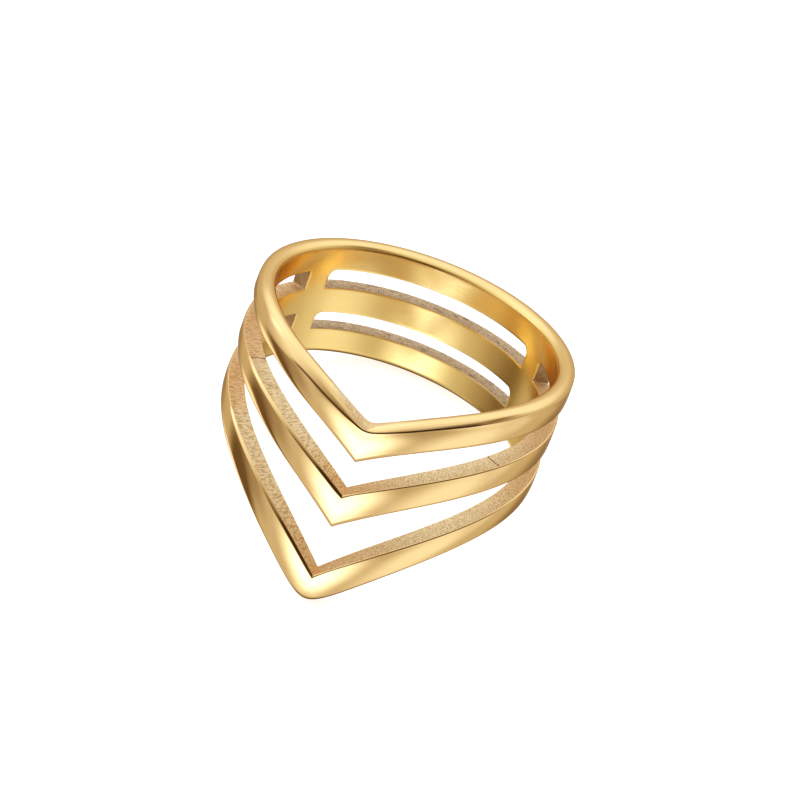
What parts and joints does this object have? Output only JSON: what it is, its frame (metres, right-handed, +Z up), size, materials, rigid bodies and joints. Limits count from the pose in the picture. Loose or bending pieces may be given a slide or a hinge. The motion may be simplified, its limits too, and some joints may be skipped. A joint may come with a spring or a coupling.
{
  "type": "chevron ring",
  "caption": "Finger ring of three chevron bands that dip to a point in front, joined by a bridge on each side, with open gaps between the bands.",
  "frame": {"origin": "on the surface it stands on, under the middle of the ring's own box", "axes": "+Z up; the chevrons' points face -Y; the finger hole's axis lies in the YZ plane and leans 21.1 degrees from +Z towards +Y, as the ring does by itself on a table; +X and -X are its two like sides"},
  "size_m": [0.0198, 0.0236, 0.0125],
  "materials": {
    "yellow_gold": "mirror polished, with matte cut faces in the gaps"
  },
  "bodies": {
    "root": {"chevron_ring": "yellow_gold"}
  },
  "joints": []
}
